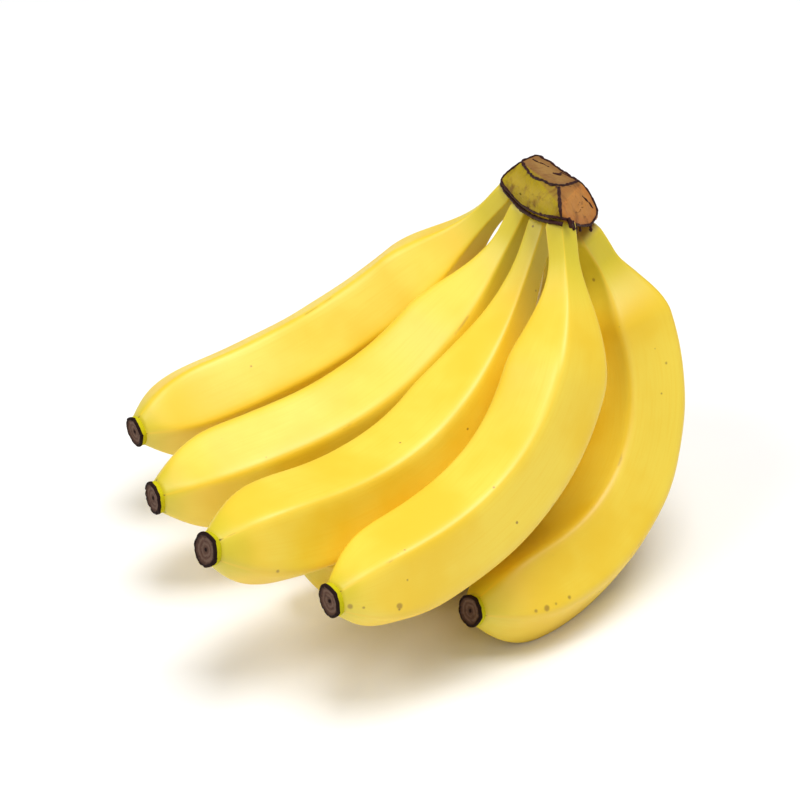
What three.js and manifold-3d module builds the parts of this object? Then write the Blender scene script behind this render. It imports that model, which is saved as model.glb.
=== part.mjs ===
import * as THREE from "three";
import { mergeVertices } from "three/addons/utils/BufferGeometryUtils.js";
import { ConvexGeometry } from "three/addons/geometries/ConvexGeometry.js";
import Module from "manifold-3d";

// A hand of seven bananas grown on one crown, standing on the bellies of its back row.
// Millimetres, +Z up, the viewer on the -Y side, the floor at z = 0.

const wasm = await Module();
wasm.setup();

// Facets of a finger
const AROUND = 20;
const ALONG = 26;
// Five soft ridges run along a finger; a higher power makes them sharper
const RIDGES = 5;
const RIDGE_POWER = 13;
const RIDGE_REACH = 1.09;
// How a finger swells from its neck and closes to its end, as shares of its length
const NECK_END = 0.05;
const TAPER_START = 0.78;
const TAPER_POWER = 3;
const END_SHARE = 0.35;
// How far a neck runs up into the crown, how much it narrows in there, and the gap left between
// touching pieces
const NECK_SINK = 5;
const NECK_CLOSE = 0.65;
const GAP = 0.3;
// The dried flower end
const STUB_LENGTH = 3.2;
const STUB_FLARE = 1.06;

// Each finger: where its neck leaves the crown, the heading it leaves with and the heading its
// end points along (compass angle from +X, then slope), its length, the half-thickness of its neck
// and its greatest one, where along it the bend lies and how widely it is spread, where it has
// swelled to full thickness, and the turn of its ridges from the hollow side of the bend.
const FINGERS = [
  { name: "banana_1", root: [40.2, 68, 124.1], leaves: [162, -52.5], points: [213.5, -2.5],
    length: 188, neck: 5.4, half: 18.3, bendAt: 0.47, bendOver: 0.35, fullAt: 0.31, ridge: -46 },
  { name: "banana_2", root: [45.7, 51.5, 124.8], leaves: [202.5, -64], points: [209.5, 1],
    length: 194, neck: 5.4, half: 19, bendAt: 0.4, bendOver: 0.33, fullAt: 0.31, ridge: -53 },
  { name: "banana_3", root: [52.2, 39, 124.8], leaves: [238, -56], points: [219.5, 13],
    length: 206, neck: 5.4, half: 19, bendAt: 0.46, bendOver: 0.28, fullAt: 0.42, ridge: -47 },
  { name: "banana_4", root: [57.2, 14.6, 136.3], leaves: [288.5, -63.5], points: [214.5, 2],
    length: 187.5, neck: 5.5, half: 18.6, bendAt: 0.4, bendOver: 0.47, fullAt: 0.32, ridge: -60 },
  { name: "banana_5", root: [68.4, 40.3, 119.4], leaves: [360, -57], points: [219, 12],
    length: 199, neck: 7.1, half: 18, bendAt: 0.42, bendOver: 0.45, fullAt: 0.195, ridge: -38 },
  { name: "banana_6", root: [57.8, 53.9, 115.0], leaves: [274, -59], points: [185, 18.5],
    length: 196, neck: 5.5, half: 17.4, bendAt: 0.65, bendOver: 0.24, fullAt: 0.38, ridge: -35 },
  { name: "banana_7", root: [58.2, 74, 115.4], leaves: [41, -74.5], points: [208, 20],
    length: 191, neck: 5.4, half: 18.8, bendAt: 0.46, bendOver: 0.26, fullAt: 0.35, ridge: -45 },
];

// Corners of the crown: the cut top, the lip over the front necks, the end facet over the right
// neck, and the underside that the back row hangs from
const CUT_TOP = [
  [57, 25, 147], [53.5, 34.5, 143.6], [50, 44, 140.7], [47.3, 53.5, 140], [45, 64, 139.7],
  [51, 72, 138.8], [53, 71, 138.6], [65, 40, 142.5],
];
const FRONT_LIP = [
  [37, 66, 131.6], [38.5, 60, 131], [41, 52, 130.8], [44, 42.5, 131.5], [47.3, 30.7, 134.4],
  [50.5, 19.3, 138.2], [54, 9.5, 142.3], [57.2, 8.5, 142], [56.5, 8.8, 146.5],
];
const END_FACET = [
  [59.5, 8.9, 141.6], [62.2, 13.9, 137.3], [66, 21.8, 132.5], [70, 28.7, 129.8], [73, 38, 130.5],
  [71, 38.5, 135.3], [69, 39, 138.8], [67, 39.5, 141.4],
];
const UNDERSIDE = [
  [74, 44, 125], [38.5, 72, 126], [45, 79, 122], [60, 80, 118], [68, 62, 118], [52, 57, 119.5],
  [62, 42, 121.5], [50, 31, 132.3],
];

function heading([compass, slope]) {
  const across = THREE.MathUtils.degToRad(compass);
  const up = THREE.MathUtils.degToRad(slope);
  return new THREE.Vector3(
    Math.cos(up) * Math.cos(across),
    Math.cos(up) * Math.sin(across),
    Math.sin(up),
  );
}

function smooth(start, end, value) {
  const share = THREE.MathUtils.clamp((value - start) / (end - start), 0, 1);
  return share * share * (3 - 2 * share);
}

function halfThickness(finger, share) {
  const swell = smooth(NECK_END, finger.fullAt, share);
  const body = finger.neck + (finger.half - finger.neck) * swell;
  const stubStart = 1 - STUB_LENGTH / finger.length;
  const past = THREE.MathUtils.clamp((share - TAPER_START) / (stubStart - TAPER_START), 0, 1);
  return body * (1 - (1 - END_SHARE) * past ** TAPER_POWER);
}

// Reach of the five-sided section at an angle from the hollow side of the bend
function sectionReach(angle, turn) {
  let sum = 0;
  for (let face = 0; face < RIDGES; face += 1) {
    const facing = turn + ((face + 0.5) * 2 * Math.PI) / RIDGES;
    sum += Math.max(0, Math.cos(angle - facing)) ** RIDGE_POWER;
  }
  return sum ** (-1 / RIDGE_POWER) / RIDGE_REACH;
}

// Centreline of a finger: a plane curve that turns from one heading to the other
function centreline(finger, steps) {
  const start = heading(finger.leaves);
  const end = heading(finger.points);
  const bend = start.angleTo(end);
  const hollow = end.clone().addScaledVector(start, -Math.cos(bend)).normalize();
  const side = start.clone().cross(hollow);
  const turnRate = (share) => {
    const off = (share - finger.bendAt) / finger.bendOver;
    return 0.25 + Math.exp(-off * off);
  };
  const fine = 400;
  const turned = [0];
  for (let k = 1; k <= fine; k += 1) {
    turned.push(turned[k - 1] + turnRate((k - 0.5) / fine));
  }
  const point = new THREE.Vector3(...finger.root);
  const stations = [];
  const step = finger.length / fine;
  let next = 0;
  for (let k = 0; k <= fine; k += 1) {
    const angle = (bend * turned[k]) / turned[fine];
    const along = start.clone().multiplyScalar(Math.cos(angle)).addScaledVector(hollow, Math.sin(angle));
    const inward = start.clone().multiplyScalar(-Math.sin(angle)).addScaledVector(hollow, Math.cos(angle));
    while (next < steps.length && steps[next] * fine <= k + 1e-9) {
      const over = (steps[next] * fine - k) * step;
      const spot = point.clone().addScaledVector(along, over);
      stations.push({ share: steps[next], point: spot, along, inward, side });
      next += 1;
    }
    point.addScaledVector(along, step);
  }
  return stations;
}

function ring(station, radius, turn) {
  const points = [];
  for (let k = 0; k < AROUND; k += 1) {
    const angle = turn + (k * 2 * Math.PI) / AROUND;
    const reach = radius * sectionReach(angle, turn);
    points.push(
      station.point.clone()
        .addScaledVector(station.inward, reach * Math.cos(angle))
        .addScaledVector(station.side, reach * Math.sin(angle)),
    );
  }
  return points;
}

// Closed skin over rings of equal count, each end closed by a fan round its middle
function skin(rings) {
  const spots = [];
  const faces = [];
  for (const loop of rings) {
    for (const spot of loop) {
      spots.push(spot.x, spot.y, spot.z);
    }
  }
  const count = rings[0].length;
  const middle = (loop) => loop.reduce((sum, spot) => sum.add(spot), new THREE.Vector3()).divideScalar(count);
  const first = middle(rings[0]);
  const last = middle(rings[rings.length - 1]);
  const firstIndex = rings.length * count;
  spots.push(first.x, first.y, first.z, last.x, last.y, last.z);
  for (let k = 0; k < count; k += 1) {
    const next = (k + 1) % count;
    for (let row = 0; row + 1 < rings.length; row += 1) {
      const low = row * count;
      const high = low + count;
      faces.push(low + k, low + next, high + next, low + k, high + next, high + k);
    }
    const top = (rings.length - 1) * count;
    faces.push(firstIndex, next, k);
    faces.push(firstIndex + 1, top + k, top + next);
  }
  const geometry = new THREE.BufferGeometry();
  geometry.setAttribute("position", new THREE.Float32BufferAttribute(spots, 3));
  geometry.setIndex(faces);
  return geometry;
}

// Neck end sunk into the crown, carried on straight behind the first station
function sunkNeck(finger, stations, grow) {
  const first = stations[0];
  const turn = THREE.MathUtils.degToRad(finger.ridge);
  const back = { ...first, point: first.point.clone().addScaledVector(first.along, -NECK_SINK - grow) };
  return ring(back, halfThickness(finger, 0) * NECK_CLOSE + grow, turn);
}

function fingerGeometry(finger) {
  const end = 1 - (STUB_LENGTH + GAP) / finger.length;
  const steps = Array.from({ length: ALONG }, (_, k) => (end * k) / (ALONG - 1));
  const stations = centreline(finger, steps);
  const turn = THREE.MathUtils.degToRad(finger.ridge);
  const rings = stations.map((station) => ring(station, halfThickness(finger, station.share), turn));
  return skin([sunkNeck(finger, stations, 0), ...rings]);
}

// The room a neck needs in the crown
function socketGeometry(finger) {
  const stations = centreline(finger, [0, 0.04, 0.08, 0.12]);
  const turn = THREE.MathUtils.degToRad(finger.ridge);
  const rings = stations.map((station) => ring(station, halfThickness(finger, station.share) + GAP, turn));
  return skin([sunkNeck(finger, stations, GAP), ...rings]);
}

function stubGeometry(finger) {
  const shares = [1 - STUB_LENGTH / finger.length, 1 - STUB_LENGTH / 2 / finger.length, 1];
  const stations = centreline(finger, shares);
  const turn = THREE.MathUtils.degToRad(finger.ridge);
  const base = halfThickness(finger, shares[0]);
  const radii = [base, base * STUB_FLARE, base * 0.94];
  return skin(stations.map((station, k) => ring(station, radii[k], turn)));
}

function solid(geometry) {
  const plain = geometry.clone();
  plain.deleteAttribute("normal");
  plain.deleteAttribute("uv");
  const merged = mergeVertices(plain, 1e-4);
  const mesh = new wasm.Mesh({
    numProp: 3,
    vertProperties: new Float32Array(merged.attributes.position.array),
    triVerts: new Uint32Array(merged.index.array),
  });
  return new wasm.Manifold(mesh);
}

function fromSolid(body) {
  const mesh = body.getMesh();
  const geometry = new THREE.BufferGeometry();
  geometry.setAttribute("position", new THREE.BufferAttribute(new Float32Array(mesh.vertProperties), 3));
  geometry.setIndex(new THREE.BufferAttribute(new Uint32Array(mesh.triVerts), 1));
  geometry.computeVertexNormals();
  return geometry;
}

const peel = new THREE.MeshStandardMaterial({ color: 0xf2c829, roughness: 0.5, metalness: 0 });
const dried = new THREE.MeshStandardMaterial({ color: 0x4d3a2e, roughness: 0.9, metalness: 0 });
const cut = new THREE.MeshStandardMaterial({ color: 0xa88a3a, roughness: 0.8, metalness: 0 });

const bunch = new THREE.Group();
bunch.name = "banana_bunch";
const hand = new THREE.Group();
hand.name = "hand";
bunch.add(hand);

// The bellies that rest are pressed flat on the floor
const ground = new THREE.BoxGeometry(600, 600, 40);
ground.translate(0, 0, -20);
const floor = solid(ground);

const crownCorners = [...CUT_TOP, ...FRONT_LIP, ...END_FACET, ...UNDERSIDE];
let crown = solid(new ConvexGeometry(crownCorners.map((spot) => new THREE.Vector3(...spot))));
for (const finger of FINGERS) {
  const body = solid(fingerGeometry(finger)).subtract(floor);
  const banana = new THREE.Mesh(fromSolid(body), peel.clone());
  banana.name = finger.name;
  hand.add(banana);
  const tip = new THREE.Mesh(stubGeometry(finger), dried.clone());
  tip.geometry.computeVertexNormals();
  tip.name = finger.name.replace("banana", "tip");
  hand.add(tip);
  crown = crown.subtract(solid(socketGeometry(finger)));
}
const crownMesh = new THREE.Mesh(fromSolid(crown), cut);
crownMesh.name = "crown";
hand.add(crownMesh);

// The middle of the box in plan is brought over the origin
const box = new THREE.Box3().setFromObject(hand);
const middle = box.getCenter(new THREE.Vector3());
hand.position.set(-middle.x, -middle.y, 0);

export default bunch;
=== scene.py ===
"""Looks for a hand of seven bananas on one crown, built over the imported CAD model."""

import math

import bmesh
import bpy
from bpy.props import FloatProperty, FloatVectorProperty, IntProperty, PointerProperty
from mathutils import Matrix, Vector, noise
from mathutils.bvhtree import BVHTree


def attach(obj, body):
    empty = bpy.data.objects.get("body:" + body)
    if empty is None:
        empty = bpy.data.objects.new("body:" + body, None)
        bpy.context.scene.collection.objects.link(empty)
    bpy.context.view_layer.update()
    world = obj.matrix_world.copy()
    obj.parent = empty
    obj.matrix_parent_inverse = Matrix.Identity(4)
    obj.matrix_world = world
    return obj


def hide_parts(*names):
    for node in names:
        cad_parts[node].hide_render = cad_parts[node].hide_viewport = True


bl_info = {
    "name": "Banana hand",
    "version": (1, 0, 0),
    "blender": (4, 5, 0),
    "location": "View3D > Sidebar > Banana",
    "description": "Grows the bananas, their dried flower ends and their crown over the CAD model",
    "category": "Object",
}

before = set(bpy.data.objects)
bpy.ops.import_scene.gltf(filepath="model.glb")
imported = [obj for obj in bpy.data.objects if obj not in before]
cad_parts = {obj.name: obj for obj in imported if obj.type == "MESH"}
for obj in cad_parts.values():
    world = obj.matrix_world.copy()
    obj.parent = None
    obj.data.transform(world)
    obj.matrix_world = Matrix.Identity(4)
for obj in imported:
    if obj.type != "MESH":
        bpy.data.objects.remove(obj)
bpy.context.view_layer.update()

MM = 0.001
RIDGES = 5

# How a finger's curve is drawn: its steps, and the even bend added under the bend of its own
CURVE_STEPS = 400
EVEN_BEND = 0.25
# How far a ring's vertices are crowded towards the ridges
RIDGE_CROWDING = 0.55
# The shares of the length between which the ridges soften to the round flower end
RIDGES_SOFTEN = (0.88, 0.985)
ROPE_SIDES = 10
PEEL_ROUGHNESS = 0.46

# Where the CAD model moved the hand in plan, in mm, so that its box is centred
HAND_SHIFT = (1.6737, 2.989)

# The camera in mm and degrees: its distance, its slope, where it aims, and the picture's scale there
CAMERA_DISTANCE = 950.0
CAMERA_ELEVATION = 30.0
AIM_HEIGHT = 70.4
AIM_ACROSS = -1.9
PIXELS_PER_MM = 2.65
IMAGE_WIDTH = 800
SENSOR_WIDTH = 36

# The studio, in metres and watts: each lamp's name, place, width and power
LAMPS = (
    ("key", (0.35, 0.0, 1.95), 1.2, 30.0),
    ("side", (-1.3, -0.65, 1.6), 0.9, 17.0),
    ("fill", (0.5, -1.6, 1.2), 1.6, 4.0),
)
LAMP_AIM = (0, 0, 0.06)
SKY_STRENGTH = 0.28
FLOOR_HALF_WIDTH = 6.0
FLOOR_DROP = 0.1 * MM
PAPER_WHITE = "#FAFAFA"

# Each finger, as in the part's source: where the neck leaves the crown, the headings (compass angle
# from +X, then slope) that it leaves with and points with at its end, its length, the half-thickness
# of its neck and its greatest one, where the bend lies and how widely it is spread, where it is full,
# and the turn of its ridges from the hollow side of the bend.
FINGERS = (
    dict(name="banana_1", root=(40.2, 68, 124.1), leaves=(162, -52.5), points=(213.5, -2.5),
         length=188, neck=5.4, half=18.3, bend_at=0.47, bend_over=0.35, full_at=0.31, ridge=-46),
    dict(name="banana_2", root=(45.7, 51.5, 124.8), leaves=(202.5, -64), points=(209.5, 1),
         length=194, neck=5.4, half=19, bend_at=0.4, bend_over=0.33, full_at=0.31, ridge=-53),
    dict(name="banana_3", root=(52.2, 39, 124.8), leaves=(238, -56), points=(219.5, 13),
         length=206, neck=5.4, half=19, bend_at=0.46, bend_over=0.28, full_at=0.42, ridge=-47),
    dict(name="banana_4", root=(57.2, 14.6, 136.3), leaves=(288.5, -63.5), points=(214.5, 2),
         length=187.5, neck=5.5, half=18.6, bend_at=0.4, bend_over=0.47, full_at=0.32, ridge=-60),
    dict(name="banana_5", root=(68.4, 40.3, 119.4), leaves=(360, -57), points=(219, 12),
         length=199, neck=7.1, half=18, bend_at=0.42, bend_over=0.45, full_at=0.195, ridge=-38),
    dict(name="banana_6", root=(57.8, 53.9, 115), leaves=(274, -59), points=(185, 18.5),
         length=196, neck=5.5, half=17.4, bend_at=0.65, bend_over=0.24, full_at=0.38, ridge=-35),
    dict(name="banana_7", root=(58.2, 74, 115.4), leaves=(41, -74.5), points=(208, 20),
         length=191, neck=5.4, half=18.8, bend_at=0.46, bend_over=0.26, full_at=0.35, ridge=-45),
)

# The crown's corners, in mm as in the part's source
CUT_TOP = (
    (57, 25, 147), (53.5, 34.5, 143.6), (50, 44, 140.7), (47.3, 53.5, 140), (45, 64, 139.7),
    (51, 72, 138.8), (53, 71, 138.6), (65, 40, 142.5),
)
FRONT_LIP = (
    (37, 66, 131.6), (38.5, 60, 131), (41, 52, 130.8), (44, 42.5, 131.5), (47.3, 30.7, 134.4),
    (50.5, 19.3, 138.2), (54, 9.5, 142.3), (57.2, 8.5, 142), (56.5, 8.8, 146.5),
)
END_FACET = (
    (59.5, 8.9, 141.6), (62.2, 13.9, 137.3), (66, 21.8, 132.5), (70, 28.7, 129.8), (73, 38, 130.5),
    (71, 38.5, 135.3), (69, 39, 138.8), (67, 39.5, 141.4),
)
UNDERSIDE = (
    (74, 44, 125), (38.5, 72, 126), (45, 79, 122), (60, 80, 118), (68, 62, 118), (52, 57, 119.5),
    (62, 42, 121.5), (50, 31, 132.3),
)
# The crown is tan where its face looks up by this much, and brown from this far across (in mm)
TOP_SLOPE = (0.78, 0.9)
BROWN_ACROSS = (56.6, 57.4)
# Drops of dried sap under the lip of the end facet: radius in mm, then the path from the rim down
DRIPS = (
    (0.8, ((59.9, 8.4, 142.4), (60.6, 8.6, 140.4), (60.9, 9.1, 138.4))),
    (0.6, ((61.6, 11.6, 139.6), (62, 11.6, 137.6), (62.1, 12, 136.2))),
    (0.6, ((62.8, 14.8, 136.9), (63, 14.4, 134.9), (63.1, 14.6, 133.1))),
    (0.5, ((65, 19.9, 133.7), (65.1, 19.7, 132.6), (65.1, 19.8, 131.6))),
    (0.6, ((69.4, 27.8, 130.2), (69.7, 27.5, 128.8), (69.8, 27.6, 127.6))),
)
# Dark cracks and a knot hole in the cut top and the end facet: radius in mm, then the path
CRACKS = (
    (0.3, ((49.5, 66, 139.5), (52, 61, 140), (55, 55.5, 141))),
    (0.65, ((56.3, 47.5, 143), (57.6, 46.6, 143), (59.2, 46, 143))),
    (0.25, ((59, 50, 142), (61.5, 46.5, 142.5), (63.5, 43, 142.5))),
    (0.3, ((66, 33, 139.5), (68.2, 34.5, 136), (70, 36, 133))),
)
# Freckles: the finger, the share of its length, the share of a turn from its first ridge, and the
# radius in mm
FRECKLES = (
    ("banana_3", 0.89, 0.99, 0.8), ("banana_3", 0.88, 0.985, 0.6), ("banana_3", 0.95, 0.975, 0.5),
    ("banana_3", 0.9, 0.81, 0.7), ("banana_3", 0.12, 0.84, 1.0), ("banana_4", 0.87, 0.01, 0.7),
    ("banana_4", 0.855, 0.01, 0.6), ("banana_4", 0.87, 0.92, 0.5), ("banana_4", 0.61, 0.005, 0.5),
    ("banana_4", 0.975, 0.86, 1.1), ("banana_4", 0.955, 0.85, 0.7), ("banana_4", 0.897, 0.84, 1.0),
    ("banana_5", 0.823, 0.97, 0.6), ("banana_5", 0.907, 0.817, 0.9), ("banana_5", 0.885, 0.817, 1.2),
    ("banana_5", 0.865, 0.82, 0.9), ("banana_5", 0.833, 0.822, 1.0), ("banana_5", 0.283, 0.86, 0.8),
    ("banana_5", 0.25, 0.895, 0.7), ("banana_5", 0.08, 0.09, 1.0),
)
# The flower end's profile from its collar in to the middle of the scar: height in mm past the start
# of the stub, share of the stub's thickness, and how far out the colour is taken from (0 is the middle)
SCAR_PROFILE = (
    (-0.9, 0.9, 1.6), (0.0, 1.0, 1.6), (1.5, 1.0, 1.5), (2.0, 1.03, 1.1), (2.6, 1.03, 0.95),
    (2.95, 0.92, 0.85), (2.7, 0.82, 0.72), (2.2, 0.72, 0.62), (2.4, 0.58, 0.50), (2.1, 0.46, 0.40),
    (2.3, 0.33, 0.28), (2.0, 0.20, 0.18), (2.2, 0.12, 0.10), (2.5, 0.05, 0.0),
)
# The dried rims that stand up where facets of the crown meet
RIMS = (
    CUT_TOP[:5][::-1] + (CUT_TOP[7],),
    CUT_TOP[4:5] + FRONT_LIP[:8] + END_FACET + CUT_TOP[7:],
    (CUT_TOP[0], FRONT_LIP[8], FRONT_LIP[7]),
    CUT_TOP[4:8],
)


def linear(hex_colour):
    """Linear red, green and blue of an sRGB hex colour."""
    values = [int(hex_colour[i:i + 2], 16) / 255 for i in (1, 3, 5)]
    return tuple(v / 12.92 if v <= 0.04045 else ((v + 0.055) / 1.055) ** 2.4 for v in values)


def colour_property(name, hex_colour, description):
    """A colour that the panel shows, with an sRGB hex default."""
    return FloatVectorProperty(
        name=name, description=description, subtype="COLOR", size=3, min=0, max=1,
        default=linear(hex_colour),
    )


class BananaSizes(bpy.types.PropertyGroup):
    """Sizes shared by all the fingers."""

    neck_end: FloatProperty(
        name="Neck end", description="Share of the length where the neck starts to swell", default=0.05)
    taper_start: FloatProperty(
        name="Taper start", description="Share of the length where the finger starts to close", default=0.78)
    taper_power: FloatProperty(
        name="Taper power", description="How late the end closes", default=3.0)
    end_share: FloatProperty(
        name="End share", description="Thickness at the flower end, as a share of the greatest", default=0.35)
    ridge_power: FloatProperty(
        name="Ridge power", description="Sharpness of the five ridges", default=15.0)
    end_power: FloatProperty(
        name="End power", description="Sharpness of the ridges at the flower end", default=4.0)
    ridge_reach: FloatProperty(
        name="Ridge reach", description="How far the ridges stand past the mean half-thickness", default=1.09)
    neck_sink: FloatProperty(
        name="Neck sink", description="Length of neck inside the crown", default=5.0 * MM, unit="LENGTH")
    neck_close: FloatProperty(
        name="Neck close", description="Thickness of the neck's sunk end, as a share of the neck",
        default=0.6)
    stub_length: FloatProperty(
        name="Stub length", description="Length of the dried flower end", default=3.2 * MM, unit="LENGTH")
    dents: FloatProperty(
        name="Dents", description="Depth of the soft dents in the peel", default=0.35 * MM, unit="LENGTH")
    fray: FloatProperty(
        name="Fray", description="Depth of the notches in the dried collar", default=0.9 * MM, unit="LENGTH")
    around: IntProperty(name="Around", description="Faces round a finger", default=70)
    along: IntProperty(name="Along", description="Rings along a finger", default=150)


class CrownSizes(bpy.types.PropertyGroup):
    """Sizes of the crown."""

    worn_edge: FloatProperty(
        name="Worn edge", description="Width of the wear on the crown's edges", default=0.5 * MM,
        unit="LENGTH")
    mesh_edge: FloatProperty(
        name="Mesh edge", description="Longest edge in the crown's mesh", default=1.3 * MM, unit="LENGTH")
    dark_width: FloatProperty(
        name="Dark width", description="Reach of the dark skin beside a rim", default=5 * MM,
        unit="LENGTH")
    dish: FloatProperty(
        name="Dish", description="Depth to which a facet has shrunk", default=0.35 * MM, unit="LENGTH")
    dish_width: FloatProperty(
        name="Dish width", description="Distance from a rim to the full depth", default=6 * MM,
        unit="LENGTH")
    rim: FloatProperty(
        name="Rim", description="Half-thickness of the dried rims", default=0.55 * MM, unit="LENGTH")
    lip: FloatProperty(
        name="Lip", description="Half-thickness of the lower lip", default=0.8 * MM, unit="LENGTH")
    lip_place: FloatVectorProperty(
        name="Lip place", description="Where the lower lip runs from the rim above it",
        default=(0.4 * MM, -0.5 * MM, -1.9 * MM), subtype="TRANSLATION", unit="LENGTH")


class BananaColours(bpy.types.PropertyGroup):
    """Colours of the peel and of the dried parts."""

    peel: colour_property("Peel", "#F4D642", "Ripe peel")
    peel_deep: colour_property("Deep peel", "#F0C822", "Deeper yellow in soft clouds over the peel")
    peel_green: colour_property("Green peel", "#C6BD0E", "Last green at the neck and the flower end")
    bruise: colour_property("Bruise", "#7A4A12", "Rubbed ridges and freckles")
    dried: colour_property("Dried edge", "#200E0B", "Near-black dried tissue")
    face: colour_property("Flower scar", "#5A4135", "Grey-brown scar of the flower")
    scar_ring: colour_property("Scar ring", "#7A6253", "Paler rings in the scar")
    scar_stain: colour_property("Scar stain", "#3A2822", "Dark grains in the scar")
    crown: colour_property("Crown", "#A48C0E", "Olive skin of the crown")
    pith: colour_property("Pith", "#CDA85A", "Paler middle of a dried facet")
    crown_cut: colour_property("Crown cut", "#8A6232", "Tan cut top of the crown")
    crown_end: colour_property("Crown end", "#B87636", "Orange-brown end of the crown")
    # Real stains on the crown, and also the painted shade on the necks just under it
    crown_stain_and_neck_shade: colour_property("Crown brown", "#6A3E1A", "Stains on the crown and dried necks")
    rim: colour_property("Rim", "#34100E", "Maroon dried rims of the crown")


def smooth(start, end, value):
    """Soft step from 0 at the start to 1 at the end."""
    share = min(1.0, max(0.0, (value - start) / (end - start)))
    return share * share * (3 - 2 * share)


def heading(compass, slope):
    """Direction with a compass angle from +X and a slope, both in degrees."""
    across = math.radians(compass)
    up = math.radians(slope)
    return Vector((math.cos(up) * math.cos(across), math.cos(up) * math.sin(across), math.sin(up)))


def half_thickness(finger, share, sizes):
    """Half-thickness of a finger in metres at a share of its length."""
    swell = smooth(sizes.neck_end, finger["full_at"], share)
    body = finger["neck"] + (finger["half"] - finger["neck"]) * swell
    stub_start = 1 - sizes.stub_length / MM / finger["length"]
    past = min(1.0, max(0.0, (share - sizes.taper_start) / (stub_start - sizes.taper_start)))
    return body * MM * (1 - (1 - sizes.end_share) * past ** sizes.taper_power)


def section_reach(angle, power, reach):
    """Reach of the five-sided section at an angle from one of its ridges."""
    total = 0.0
    for face in range(RIDGES):
        facing = (face + 0.5) * 2 * math.pi / RIDGES
        total += max(0.0, math.cos(angle - facing)) ** power
    return total ** (-1 / power) / reach


def stations(finger, shares):
    """Frames (matrix without scale) along a finger's centreline at the given shares of its length."""
    start = heading(*finger["leaves"])
    end = heading(*finger["points"])
    bend = start.angle(end)
    hollow = (end - start * math.cos(bend)).normalized()
    side = start.cross(hollow)
    turn = math.radians(finger["ridge"])
    turned = [0.0]
    for k in range(CURVE_STEPS):
        off = ((k + 0.5) / CURVE_STEPS - finger["bend_at"]) / finger["bend_over"]
        turned.append(turned[-1] + EVEN_BEND + math.exp(-off * off))
    point = Vector(finger["root"]) + Vector((*HAND_SHIFT, 0))
    step = finger["length"] / CURVE_STEPS
    frames = []
    wanted = list(shares)
    for k in range(CURVE_STEPS + 1):
        angle = bend * turned[k] / turned[CURVE_STEPS]
        along = start * math.cos(angle) + hollow * math.sin(angle)
        inward = hollow * math.cos(angle) - start * math.sin(angle)
        ridge = inward * math.cos(turn) + side * math.sin(turn)
        across = along.cross(ridge)
        while wanted and (wanted[0] * CURVE_STEPS <= k or k == CURVE_STEPS):
            share = wanted.pop(0)
            spot = (point + along * ((share * CURVE_STEPS - k) * step)) * MM
            turn_matrix = Matrix((ridge, across, along)).transposed().to_4x4()
            frames.append(Matrix.Translation(spot) @ turn_matrix)
        point = point + along * step
    return frames


def start_ring(bm, matrix, radius, count, power=None, reach=1.0):
    """A ring of edges at a station: five-sided if the ridges' power is given, else round."""
    made = bmesh.ops.create_circle(bm, cap_ends=False, radius=1.0, segments=count)
    for vert in made["verts"]:
        if power:
            angle = math.atan2(vert.co.y, vert.co.x)
            angle -= RIDGE_CROWDING * math.sin(RIDGES * angle) / RIDGES
            vert.co = Vector((math.cos(angle), math.sin(angle), 0)) * section_reach(angle, power, reach)
    place = matrix @ Matrix.Scale(radius, 4)
    bmesh.ops.transform(bm, matrix=place, verts=made["verts"])
    return place, list({edge for vert in made["verts"] for edge in vert.link_edges})


def next_ring(bm, edges, place, matrix, radius):
    """Draws the ring on to the next station."""
    made = bmesh.ops.extrude_edge_only(bm, edges=edges)["geom"]
    verts = [item for item in made if isinstance(item, bmesh.types.BMVert)]
    fresh = set(verts)
    ring = [item for item in made
            if isinstance(item, bmesh.types.BMEdge) and all(vert in fresh for vert in item.verts)]
    new_place = matrix @ Matrix.Scale(radius, 4)
    bmesh.ops.transform(bm, matrix=new_place @ place.inverted(), verts=verts)
    return new_place, ring


def round_off(verts, middle, turns, powers):
    """Changes the sharpness of a ring's ridges from the first power to the second."""
    before, after = powers
    for vert in verts:
        turn = vert[turns] * 2 * math.pi
        vert.co = middle.lerp(vert.co, section_reach(turn, after, 1) / section_reach(turn, before, 1))


def soften(points, times=2):
    """Cuts the corners of a path, keeping its ends."""
    for _ in range(times):
        path = [points[0]]
        for start, end in zip(points, points[1:]):
            path += [start.lerp(end, 0.25), start.lerp(end, 0.75)]
        points = path + [points[-1]]
    return points


def spaced(points, gap):
    """The same path with its points no further apart than a gap."""
    path = [points[0]]
    for start, end in zip(points, points[1:]):
        count = max(1, math.ceil((end - start).length / gap))
        path += [start.lerp(end, (step + 1) / count) for step in range(count)]
    return path


def rope(bm, path, radius, rough):
    """A closed cord along a path, its radius wandering by the given share."""
    heading_now = (path[1] - path[0]).normalized()
    turn = heading_now.to_track_quat("Z", "Y").to_matrix().to_4x4()
    place = None
    for index, spot in enumerate(path):
        ahead = path[min(index + 1, len(path) - 1)] - path[max(index - 1, 0)]
        turn = heading_now.rotation_difference(ahead.normalized()).to_matrix().to_4x4() @ turn
        heading_now = ahead.normalized()
        size = radius * (1 + rough * (noise.noise(spot * 400) + 0.7 * noise.noise(spot * 1100)))
        matrix = Matrix.Translation(spot) @ turn
        if place is None:
            place, ring = start_ring(bm, matrix, size, ROPE_SIDES)
            bmesh.ops.contextual_create(bm, geom=ring)
        else:
            place, ring = next_ring(bm, ring, place, matrix, size)
    bmesh.ops.contextual_create(bm, geom=ring)


def mark(bm, verts, place, share, lengths, turns):
    """Notes on each vertex its share of the length and its turn from a ridge."""
    back = place.inverted()
    for vert in verts:
        local = back @ vert.co
        vert[lengths] = share
        vert[turns] = (math.atan2(local.y, local.x) / (2 * math.pi)) % 1.0


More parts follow.
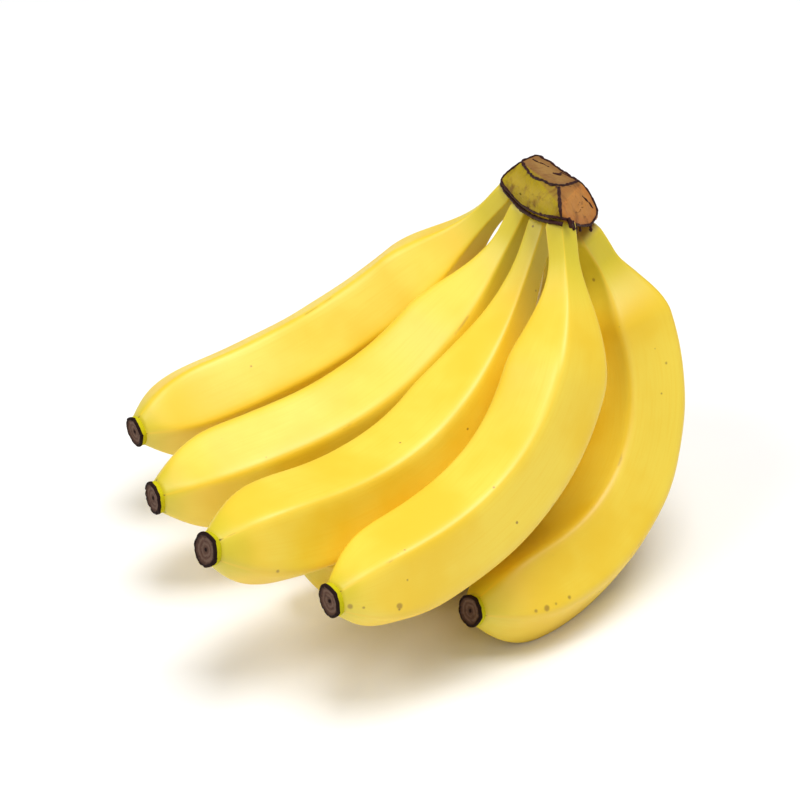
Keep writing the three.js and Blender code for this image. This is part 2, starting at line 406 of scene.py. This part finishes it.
def lay_map(bm, lengths, turns):
    """Piece's own map: first value along, second round, unbroken over the seam."""
    layer = bm.loops.layers.uv.new("peel_map")
    for face in bm.faces:
        values = [loop.vert[turns] for loop in face.loops]
        wraps = max(values) - min(values) > 0.5
        for loop, value in zip(face.loops, values):
            across = value + 1 if wraps and value < 0.5 else value
            loop[layer].uv = (loop.vert[lengths], across)


def finish_piece(bm, name, materials, node):
    """Makes the mesh an object, gives it its finish and ties it to the CAD."""
    bmesh.ops.recalc_face_normals(bm, faces=bm.faces[:])
    mesh = bpy.data.meshes.new(name)
    bm.to_mesh(mesh)
    bm.free()
    mesh.shade_smooth()
    piece = bpy.data.objects.new(name, mesh)
    bpy.context.scene.collection.objects.link(piece)
    for material in materials:
        mesh.materials.append(material)
    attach(piece, "root")
    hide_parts(node)
    return piece


def add_node(tree, kind, settings=None, inputs=None):
    """Adds a node; an input is a value or the output socket to link to it."""
    node = tree.nodes.new(kind)
    for key, value in (settings or {}).items():
        setattr(node, key, value)
    for key, value in (inputs or {}).items():
        if isinstance(value, bpy.types.NodeSocket):
            tree.links.new(value, node.inputs[key])
        else:
            node.inputs[key].default_value = value
    return node


def new_material(name, **shader_values):
    """A material with one Principled shader; returns it, its tree and its shader."""
    material = bpy.data.materials.new(name)
    material.use_nodes = True
    tree = material.node_tree
    shader = tree.nodes["Principled BSDF"]
    for key, value in shader_values.items():
        shader.inputs[key.replace("_", " ")].default_value = value
    return material, tree, shader


def maths(tree, operation, first, second=0.0):
    """Sum, product or the like of one or two values."""
    return add_node(tree, "ShaderNodeMath", {"operation": operation}, {0: first, 1: second}).outputs[0]


def ramp(tree, value, low, high, to_low=0.0, to_high=1.0):
    """Soft step of a value from one limit to the other."""
    made = add_node(
        tree, "ShaderNodeMapRange", {"interpolation_type": "SMOOTHSTEP"},
        {"Value": value, "From Min": low, "From Max": high, "To Min": to_low, "To Max": to_high})
    return made.outputs["Result"]


def blend(tree, share, first, second):
    """Mix of two colours."""
    made = add_node(tree, "ShaderNodeMix", {"data_type": "RGBA"})
    for index, value in ((0, share), (6, first), (7, second)):
        if isinstance(value, bpy.types.NodeSocket):
            tree.links.new(value, made.inputs[index])
        elif index == 0:
            made.inputs[index].default_value = value
        else:
            made.inputs[index].default_value = (*value, 1)
    return made.outputs[2]


def freckle_spots(sizes):
    """Middle and radius of each freckle, in metres."""
    fingers = {finger["name"]: finger for finger in FINGERS}
    spots = []
    for name, share, turn, radius in FRECKLES:
        finger = fingers[name]
        angle = turn * 2 * math.pi
        reach = section_reach(angle, sizes.ridge_power, sizes.ridge_reach)
        reach *= half_thickness(finger, share, sizes)
        place = stations(finger, (share,))[0]
        spots.append((place @ Vector((reach * math.cos(angle), reach * math.sin(angle), 0)), radius * MM))
    return spots


def peel_material(colours, freckles):
    """Ripe banana peel.

    It grew as a waxy skin over lengthwise fibres. To the eye it is satin, with a broad soft highlight,
    faint streaks along the finger, green left at both ends, freckles, and brown where a ridge was rubbed.
    """
    material, tree, shader = new_material(
        "ripe banana peel", Roughness=PEEL_ROUGHNESS, Specular_IOR_Level=0.8)
    spot = add_node(tree, "ShaderNodeTexCoord").outputs["Object"]
    lie = add_node(tree, "ShaderNodeUVMap", {"uv_map": "peel_map"}).outputs["UV"]
    parts = add_node(tree, "ShaderNodeSeparateXYZ", inputs={0: lie})
    along = parts.outputs["X"]
    five = maths(tree, "MULTIPLY", parts.outputs["Y"], RIDGES)
    folded = maths(tree, "ABSOLUTE", maths(tree, "SUBTRACT", maths(tree, "FRACT", five), 0.5))
    ridge = maths(tree, "MULTIPLY", folded, 2.0)
    # Clouds of deeper yellow, about 40 mm across
    clouds = add_node(tree, "ShaderNodeTexNoise", inputs={"Vector": spot, "Scale": 25.0, "Detail": 3.0})
    colour = blend(tree, ramp(tree, clouds.outputs["Fac"], 0.38, 0.66), colours.peel, colours.peel_deep)
    # Lengthwise fibres under the skin, about 1 mm apart
    fibre_spot = add_node(tree, "ShaderNodeMapping", inputs={"Vector": lie, "Scale": (9.0, 110.0, 1.0)})
    fibres = add_node(
        tree, "ShaderNodeTexNoise", inputs={"Vector": fibre_spot.outputs[0], "Scale": 1.0, "Detail": 3.0})
    fibre_share = ramp(tree, fibres.outputs["Fac"], 0.42, 0.75, 0.0, 0.35)
    colour = blend(tree, fibre_share, colour, colours.peel_deep)
    # The last green at both ends
    wander = maths(tree, "MULTIPLY", maths(tree, "SUBTRACT", clouds.outputs["Fac"], 0.5), 0.12)
    place = maths(tree, "ADD", along, wander)
    green_end = ramp(tree, place, 0.92, 1.01, 0.0, 0.75)
    green_neck = ramp(tree, place, 0.21, 0.03, 0.0, 0.6)
    colour = blend(tree, maths(tree, "MAXIMUM", green_end, green_neck), colour, colours.peel_green)
    # Deeper yellow along each ridge, and rubbed brown on its crest in broken stretches of about 14 mm
    colour = blend(tree, ramp(tree, ridge, 0.86, 0.98, 0.0, 0.5), colour, colours.peel_deep)
    rub = add_node(tree, "ShaderNodeTexNoise", inputs={"Vector": spot, "Scale": 70.0, "Detail": 4.0})
    rubbed = ramp(tree, rub.outputs["Fac"], 0.64, 0.74, 0.0, 0.35)
    crest = maths(tree, "MULTIPLY", ramp(tree, ridge, 0.93, 1.0), rubbed)
    colour = blend(tree, crest, colour, colours.bruise)
    # Sparse freckles of 1 mm: one in ten of the cells, which are 8 mm wide, has one
    specks = add_node(tree, "ShaderNodeTexVoronoi", inputs={"Vector": spot, "Scale": 120.0})
    chance = add_node(tree, "ShaderNodeSeparateXYZ", inputs={0: specks.outputs["Color"]}).outputs["X"]
    chosen = ramp(tree, chance, 0.90, 0.93, 0.0, 0.75)
    dot = maths(tree, "MULTIPLY", ramp(tree, specks.outputs["Distance"], 0.09, 0.04), chosen)
    # The freckles that stand out, each with a ragged edge
    uneven = maths(tree, "SUBTRACT", rub.outputs["Fac"], 0.5)
    frayed = maths(tree, "MULTIPLY", uneven, 4.0 * MM)
    for middle, radius in freckles:
        away = add_node(tree, "ShaderNodeVectorMath", {"operation": "DISTANCE"}, {0: spot, 1: middle})
        reach = maths(tree, "ADD", away.outputs["Value"], frayed)
        dot = maths(tree, "MAXIMUM", dot, ramp(tree, reach, radius * 1.2, radius * 0.4, 0.0, 0.6))
    colour = blend(tree, dot, colour, colours.bruise)
    # Dried margin at the flower end runs up the ridges, and painted shade in brown sits on each neck just
    # under the crown
    near = ramp(tree, ridge, 0.75, 1.0, 0.0, 0.012)
    ragged = maths(tree, "MULTIPLY", uneven, 0.02)
    limit = maths(tree, "SUBTRACT", 0.992, maths(tree, "ADD", near, ragged))
    dry_end = ramp(tree, maths(tree, "SUBTRACT", along, limit), -0.002, 0.006)
    painted_neck_shade = ramp(tree, maths(tree, "ADD", along, ragged), 0.0, -0.014, 0.0, 0.6)
    # Painted shade: each neck turns brown where it goes in under the crown
    colour = blend(tree, painted_neck_shade, colour, colours.crown_stain_and_neck_shade)
    colour = blend(tree, dry_end, colour, colours.dried)
    tree.links.new(colour, shader.inputs["Base Color"])
    dull = ramp(tree, maths(tree, "MAXIMUM", dry_end, painted_neck_shade), 0.0, 1.0, PEEL_ROUGHNESS, 0.8)
    tree.links.new(dull, shader.inputs["Roughness"])
    # Fibre relief of about 0.05 mm, and pores 1 mm apart
    pores = add_node(tree, "ShaderNodeTexNoise", inputs={"Vector": spot, "Scale": 900.0, "Detail": 2.0})
    fibre_relief = maths(tree, "MULTIPLY", fibres.outputs["Fac"], 0.8)
    pore_relief = maths(tree, "MULTIPLY", pores.outputs["Fac"], 0.25)
    relief = maths(tree, "ADD", fibre_relief, pore_relief)
    bump = add_node(
        tree, "ShaderNodeBump", inputs={"Height": relief, "Strength": 0.35, "Distance": 0.15 * MM})
    tree.links.new(bump.outputs[0], shader.inputs["Normal"])
    return material


def flower_end_material(colours):
    """Dried flower scar.

    Plant tissue that died back and dried in the air. To the eye it is matt: a charred-looking rim round
    a grey-brown pith with rings, and a last line of green where the peel begins.
    """
    material, tree, shader = new_material("dried flower scar", Roughness=0.85, Specular_IOR_Level=0.15)
    spot = add_node(tree, "ShaderNodeTexCoord").outputs["Object"]
    lie = add_node(tree, "ShaderNodeUVMap", {"uv_map": "peel_map"}).outputs["UV"]
    out = add_node(tree, "ShaderNodeSeparateXYZ", inputs={0: lie}).outputs["X"]
    # Grain about 1.7 mm wide
    grain = add_node(
        tree, "ShaderNodeTexNoise",
        inputs={"Vector": spot, "Scale": 600.0, "Detail": 5.0, "Roughness": 0.65})
    uneven = maths(tree, "MULTIPLY", maths(tree, "SUBTRACT", grain.outputs["Fac"], 0.5), 0.25)
    reach = maths(tree, "ADD", out, uneven)
    rings = maths(tree, "SINE", maths(tree, "MULTIPLY", reach, 26.0))
    pale = ramp(tree, rings, -1.0, 1.0, 0.0, 0.6)
    colour = blend(tree, pale, colours.face, colours.scar_ring)
    colour = blend(tree, ramp(tree, grain.outputs["Fac"], 0.5, 0.75, 0.0, 0.8), colour, colours.scar_stain)
    colour = blend(tree, ramp(tree, reach, 0.62, 0.80), colour, colours.dried)
    colour = blend(tree, ramp(tree, reach, 1.22, 1.30), colour, colours.peel_green)
    colour = blend(tree, ramp(tree, reach, 0.16, 0.08), colour, colours.dried)
    tree.links.new(colour, shader.inputs["Base Color"])
    bump = add_node(
        tree, "ShaderNodeBump",
        inputs={"Height": grain.outputs["Fac"], "Strength": 0.8, "Distance": 0.4 * MM})
    tree.links.new(bump.outputs[0], shader.inputs["Normal"])
    return material


def crown_material(colours):
    """Dried crown skin.

    The stem was cut with a knife and the cut dried. To the eye it is matt: olive where skin is left, tan
    and brown on the cuts, mottled and grainy, and darker towards the shrunken edges.
    """
    material, tree, shader = new_material("dried banana crown", Roughness=0.7, Specular_IOR_Level=0.2)
    spot = add_node(tree, "ShaderNodeTexCoord").outputs["Object"]
    edge = add_node(tree, "ShaderNodeAttribute", {"attribute_name": "edge"}).outputs["Fac"]
    skin = add_node(tree, "ShaderNodeAttribute", {"attribute_name": "skin"}).outputs["Color"]
    # Stains about 7 mm wide, and grain 1.7 mm wide drawn out along Y
    mottle = add_node(
        tree, "ShaderNodeTexNoise",
        inputs={"Vector": spot, "Scale": 150.0, "Detail": 4.0, "Roughness": 0.55})
    grain_spot = add_node(tree, "ShaderNodeMapping", inputs={"Vector": spot, "Scale": (1.0, 0.3, 1.0)})
    grain = add_node(
        tree, "ShaderNodeTexNoise",
        inputs={"Vector": grain_spot.outputs[0], "Scale": 600.0, "Detail": 3.0})
    pale = ramp(tree, edge, 0.6, 0.0, 0.0, 0.15)
    colour = blend(tree, pale, skin, colours.pith)
    colour = blend(tree, ramp(tree, mottle.outputs["Fac"], 0.5, 0.75, 0.0, 0.7), colour, colours.crown_stain_and_neck_shade)
    colour = blend(tree, ramp(tree, grain.outputs["Fac"], 0.55, 0.8, 0.0, 0.3), colour, colours.crown_stain_and_neck_shade)
    uneven = maths(tree, "MULTIPLY", maths(tree, "SUBTRACT", mottle.outputs["Fac"], 0.5), 0.4)
    colour = blend(tree, ramp(tree, maths(tree, "ADD", edge, uneven), 0.86, 1.04), colour, colours.rim)
    tree.links.new(colour, shader.inputs["Base Color"])
    height = maths(tree, "ADD", mottle.outputs["Fac"], maths(tree, "MULTIPLY", grain.outputs["Fac"], 0.5))
    bump = add_node(
        tree, "ShaderNodeBump", inputs={"Height": height, "Strength": 0.7, "Distance": 0.5 * MM})
    tree.links.new(bump.outputs[0], shader.inputs["Normal"])
    return material


def rim_material(colours):
    """Dried crown rim.

    Sap and skin that shrank to a hard cord along the cuts. To the eye it is maroon to near black, dull
    with a slight gloss.
    """
    material, tree, shader = new_material("dried crown rim", Roughness=0.6, Specular_IOR_Level=0.2)
    spot = add_node(tree, "ShaderNodeTexCoord").outputs["Object"]
    # Mottling 2 mm wide
    mottle = add_node(tree, "ShaderNodeTexNoise", inputs={"Vector": spot, "Scale": 500.0, "Detail": 4.0})
    colour = blend(tree, ramp(tree, mottle.outputs["Fac"], 0.45, 0.7, 0.0, 0.8), colours.rim, colours.dried)
    tree.links.new(colour, shader.inputs["Base Color"])
    bump = add_node(
        tree, "ShaderNodeBump",
        inputs={"Height": mottle.outputs["Fac"], "Strength": 0.6, "Distance": 0.3 * MM})
    tree.links.new(bump.outputs[0], shader.inputs["Normal"])
    return material


class BUNCH_OT_fingers(bpy.types.Operator):
    """Draws a five-sided ring along each finger's curve"""

    bl_idname = "bunch.fingers"
    bl_label = "Grow the fingers"

    def execute(self, context):
        sizes = context.scene.banana_sizes
        material = peel_material(context.scene.banana_colours, freckle_spots(sizes))
        for index, finger in enumerate(FINGERS):
            bm = bmesh.new()
            lengths = bm.verts.layers.float.new("length_share")
            turns = bm.verts.layers.float.new("turn_share")
            end = 1 - sizes.stub_length / MM / finger["length"]
            shares = [end * (k / (sizes.along - 1)) for k in range(sizes.along)]
            frames = stations(finger, shares)
            sink = Matrix.Translation(frames[0].col[2].xyz * -sizes.neck_sink) @ frames[0]
            radius = half_thickness(finger, 0, sizes)
            power = sizes.ridge_power
            place, ring = start_ring(
                bm, sink, radius * sizes.neck_close, sizes.around, power, sizes.ridge_reach)
            mark(bm, bm.verts, place, -sizes.neck_sink / MM / finger["length"], lengths, turns)
            bmesh.ops.contextual_create(bm, geom=ring)
            for share, matrix in zip(shares, frames):
                radius = half_thickness(finger, share, sizes)
                place, ring = next_ring(bm, ring, place, matrix, radius)
                fresh = {vert for edge in ring for vert in edge.verts}
                mark(bm, fresh, place, share, lengths, turns)
                softened = smooth(*RIDGES_SOFTEN, share)
                wanted = sizes.ridge_power + (sizes.end_power - sizes.ridge_power) * softened
                round_off(fresh, matrix.translation, turns, (power, wanted))
                power = wanted
            bmesh.ops.contextual_create(bm, geom=ring)
            self.weather(bm, index, sizes.dents)
            lay_map(bm, lengths, turns)
            finish_piece(bm, finger["name"] + "_peel", [material], finger["name"])
        return {"FINISHED"}

    @staticmethod
    def weather(bm, index, dents):
        """Soft dents about 20 mm wide, and the belly pressed flat where it meets the floor."""
        bm.normal_update()
        away = Vector((7.0 * index, 3.0, 1.0))
        moves = [vert.normal * (noise.noise(vert.co * 45 + away) - 0.3) * dents for vert in bm.verts]
        for vert, move in zip(bm.verts, moves):
            vert.co += move
            vert.co.z = max(vert.co.z, 0.0)


class BUNCH_OT_flower_ends(bpy.types.Operator):
    """Makes the dried flower end of each finger: a ragged collar round a dished scar"""

    bl_idname = "bunch.flower_ends"
    bl_label = "Dry the flower ends"

    def execute(self, context):
        sizes = context.scene.banana_sizes
        material = flower_end_material(context.scene.banana_colours)
        for index, finger in enumerate(FINGERS):
            bm = bmesh.new()
            lengths = bm.verts.layers.float.new("length_share")
            turns = bm.verts.layers.float.new("turn_share")
            first = 1 - sizes.stub_length / MM / finger["length"]
            frames = stations(finger, (first, 1.0))
            base = half_thickness(finger, first, sizes)
            axis = frames[1].col[2].xyz
            place = None
            for height, share, out in SCAR_PROFILE:
                matrix = Matrix.Translation(axis * (height * MM - sizes.stub_length)) @ frames[1]
                if place is None:
                    place, ring = start_ring(
                        bm, matrix, base * share, sizes.around, sizes.end_power, sizes.ridge_reach)
                    bmesh.ops.contextual_create(bm, geom=ring)
                else:
                    place, ring = next_ring(bm, ring, place, matrix, base * share)
                mark(bm, {vert for edge in ring for vert in edge.verts}, place, out, lengths, turns)
            bmesh.ops.contextual_create(bm, geom=ring)
            self.fray(bm, axis * sizes.fray, index, lengths, turns)
            lay_map(bm, lengths, turns)
            node = finger["name"].replace("banana", "tip")
            finish_piece(bm, node + "_scar", [material], node)
        return {"FINISHED"}

    @staticmethod
    def fray(bm, notch, index, lengths, turns):
        """Draws the collar back by up to a notch in ragged waves, most at the ridges."""
        for vert in bm.verts:
            turn = vert[turns] * 2 * math.pi
            out = smooth(0.5, 0.95, vert[lengths]) * smooth(1.6, 1.2, vert[lengths])
            spot = Vector((math.cos(turn), math.sin(turn), index * 1.7))
            rough = noise.noise(spot * 3.1) * 0.6 + noise.noise(spot * 9.0) * 0.35
            peak = max(0.0, math.cos(RIDGES * turn)) ** 4 * 0.35
            vert.co -= notch * (out * (peak + max(0.0, rough)))


class BUNCH_OT_crown(bpy.types.Operator):
    """Makes the crown from its corners, with worn edges and a rough dried skin"""

    bl_idname = "bunch.crown"
    bl_label = "Cut the crown"

    def execute(self, context):
        colours = context.scene.banana_colours
        sizes = context.scene.crown_sizes
        shift = Vector((*HAND_SHIFT, 0))
        bm = bmesh.new()
        for corner in CUT_TOP + FRONT_LIP + END_FACET + UNDERSIDE:
            bmesh.ops.create_vert(bm, co=(Vector(corner) + shift) * MM)
        hull = bmesh.ops.convex_hull(bm, input=bm.verts[:])
        spare = [item for item in hull["geom_interior"] if isinstance(item, bmesh.types.BMVert)]
        bmesh.ops.delete(bm, geom=spare, context="VERTS")
        bmesh.ops.bevel(
            bm, geom=bm.edges[:], offset=sizes.worn_edge, offset_type="OFFSET", segments=2, profile=0.5,
            affect="EDGES", material=-1, clamp_overlap=True)
        bmesh.ops.triangulate(bm, faces=bm.faces[:])
        for _ in range(6):
            long_edges = [edge for edge in bm.edges if edge.calc_length() > sizes.mesh_edge]
            if not long_edges:
                break
            bmesh.ops.subdivide_edges(bm, edges=long_edges, cuts=1)
            bmesh.ops.triangulate(bm, faces=[face for face in bm.faces if len(face.verts) > 3])
        bm.normal_update()
        rims = [[(Vector(spot) + shift) * MM for spot in rim] for rim in RIMS]
        lines = [pair for rim in rims for pair in zip(rim, rim[1:])]
        edge_layer = bm.verts.layers.float.new("edge")
        skin_layer = bm.verts.layers.float_color.new("skin")
        moves = []
        for vert in bm.verts:
            near = min(self.away(vert.co, line) for line in lines)
            vert[edge_layer] = 1 - min(1.0, near / sizes.dark_width)
            vert[skin_layer] = (*self.skin(vert, shift.x, colours), 1)
            dish = smooth(0, sizes.dish_width, near) * sizes.dish
            rough = noise.noise(vert.co * 220) * 0.3 + noise.noise(vert.co * 700) * 0.12
            moves.append(vert.normal * (rough * MM - dish))
        for vert, move in zip(bm.verts, moves):
            vert.co += move
        self.lay_rims(bm, rims, shift, sizes)
        materials = [crown_material(colours), rim_material(colours)]
        finish_piece(bm, "crown_skin", materials, "crown")
        return {"FINISHED"}

    @staticmethod
    def lay_rims(bm, rims, shift, sizes):
        """Lays the rims and cracks over the skin, with the lower lip and the drops of sap under them."""
        ground = BVHTree.FromBMesh(bm)
        cords = bmesh.new()
        for rim in rims:
            path = [ground.find_nearest(spot)[0] for spot in spaced(soften(rim), 1.0 * MM)]
            rope(cords, path, sizes.rim, 0.5)
        low_lip = [(Vector(spot) + shift) * MM + Vector(sizes.lip_place) for spot in FRONT_LIP[:8]]
        rope(cords, spaced(soften(low_lip), 1.0 * MM), sizes.lip, 0.4)
        for radius, drip in DRIPS:
            path = [(Vector(spot) + shift) * MM for spot in drip]
            rope(cords, spaced(soften(path), 0.5 * MM), radius * MM, 0.6)
        for radius, crack in CRACKS:
            path = spaced(soften([(Vector(spot) + shift) * MM for spot in crack]), 0.5 * MM)
            rope(cords, [ground.find_nearest(spot)[0] for spot in path], radius * MM, 0.8)
        for face in cords.faces:
            face.material_index = 1
        mesh = bpy.data.meshes.new("cords")
        cords.to_mesh(mesh)
        cords.free()
        bm.from_mesh(mesh)
        bpy.data.meshes.remove(mesh)

    @staticmethod
    def away(spot, line):
        """Distance of a spot from a line between two points."""
        start, end = line
        run = end - start
        share = min(1.0, max(0.0, (spot - start).dot(run) / run.length_squared))
        return (spot - start - run * share).length

    @staticmethod
    def skin(vert, across, colours):
        """Olive on the side of the front necks, tan on top, brown on the right end."""
        olive = Vector(colours.crown)
        tan = Vector(colours.crown_cut)
        brown = Vector(colours.crown_end)
        top = smooth(*TOP_SLOPE, vert.normal.z)
        right = smooth(*BROWN_ACROSS, vert.co.x / MM - across)
        return olive.lerp(brown, right).lerp(tan, top)


class BUNCH_OT_stage(bpy.types.Operator):
    """Sets the pale floor, the studio light and the camera"""

    bl_idname = "bunch.stage"
    bl_label = "Set the stage"

    def execute(self, context):
        scene = context.scene
        scene.view_settings.view_transform = "Standard"
        bm = bmesh.new()
        bmesh.ops.create_grid(bm, x_segments=1, y_segments=1, size=FLOOR_HALF_WIDTH)
        bmesh.ops.translate(bm, vec=(0, 0, -FLOOR_DROP), verts=bm.verts[:])
        mesh = bpy.data.meshes.new("floor")
        bm.to_mesh(mesh)
        bm.free()
        floor = bpy.data.objects.new("floor", mesh)
        scene.collection.objects.link(floor)
        # Uncoated white paper from a roll: matt, with no texture that shows from here
        paper, _, shader = new_material("white background paper", Roughness=0.9)
        shader.inputs["Base Color"].default_value = (*linear(PAPER_WHITE), 1)
        mesh.materials.append(paper)
        world = bpy.data.worlds.new("studio")
        world.use_nodes = True
        sky = world.node_tree.nodes["Background"]
        sky.inputs["Color"].default_value = (1, 1, 1, 1)
        sky.inputs["Strength"].default_value = SKY_STRENGTH
        scene.world = world
        for name, spot, size, power in LAMPS:
            self.lamp(scene, name, spot, size, power)
        self.camera(scene)
        return {"FINISHED"}

    @staticmethod
    def lamp(scene, name, spot, size, power):
        """A square soft light turned to the bunch."""
        data = bpy.data.lights.new(name, "AREA")
        data.energy = power
        data.size = size
        lamp = bpy.data.objects.new(name, data)
        aim = Vector(LAMP_AIM) - Vector(spot)
        lamp.matrix_world = Matrix.Translation(spot) @ aim.to_track_quat("-Z", "Y").to_matrix().to_4x4()
        scene.collection.objects.link(lamp)

    @staticmethod
    def camera(scene):
        """A long lens, looking down at the bunch along +Y."""
        tilt = math.radians(CAMERA_ELEVATION)
        data = bpy.data.cameras.new("photo_camera")
        data.sensor_width = SENSOR_WIDTH
        data.lens = PIXELS_PER_MM * CAMERA_DISTANCE / IMAGE_WIDTH * data.sensor_width
        data.clip_end = 20
        camera = bpy.data.objects.new("photo_camera", data)
        spot = Vector((
            (HAND_SHIFT[0] + AIM_ACROSS) * MM,
            (HAND_SHIFT[1] - CAMERA_DISTANCE * math.cos(tilt)) * MM,
            (AIM_HEIGHT + CAMERA_DISTANCE * math.sin(tilt)) * MM,
        ))
        camera.matrix_world = Matrix.Translation(spot) @ Matrix.Rotation(math.pi / 2 - tilt, 4, "X")
        scene.collection.objects.link(camera)
        scene.camera = camera


class BUNCH_PT_panel(bpy.types.Panel):
    """Lists the bunch's steps and settings"""

    bl_label = "Banana hand"
    bl_idname = "BUNCH_PT_panel"
    bl_space_type = "VIEW_3D"
    bl_region_type = "UI"
    bl_category = "Banana"

    def draw(self, context):
        layout = self.layout
        for step in STEPS:
            layout.operator(step.bl_idname)
        scene = context.scene
        for group in (scene.banana_sizes, scene.crown_sizes, scene.banana_colours):
            for key in group.__annotations__:
                layout.prop(group, key)


STEPS = (BUNCH_OT_fingers, BUNCH_OT_flower_ends, BUNCH_OT_crown, BUNCH_OT_stage)
CLASSES = (BananaSizes, CrownSizes, BananaColours, *STEPS, BUNCH_PT_panel)


def register():
    """Registers the classes and hangs their settings on the scene."""
    for item in CLASSES:
        bpy.utils.register_class(item)
    bpy.types.Scene.banana_sizes = PointerProperty(type=BananaSizes)
    bpy.types.Scene.crown_sizes = PointerProperty(type=CrownSizes)
    bpy.types.Scene.banana_colours = PointerProperty(type=BananaColours)


def unregister():
    """Takes the settings and the classes away again."""
    del bpy.types.Scene.banana_colours
    del bpy.types.Scene.crown_sizes
    del bpy.types.Scene.banana_sizes
    for item in reversed(CLASSES):
        bpy.utils.unregister_class(item)


def main():
    """Makes all the pieces and the stage."""
    register()
    bpy.ops.bunch.fingers()
    bpy.ops.bunch.flower_ends()
    bpy.ops.bunch.crown()
    bpy.ops.bunch.stage()


if __name__ == "__main__":
    main()
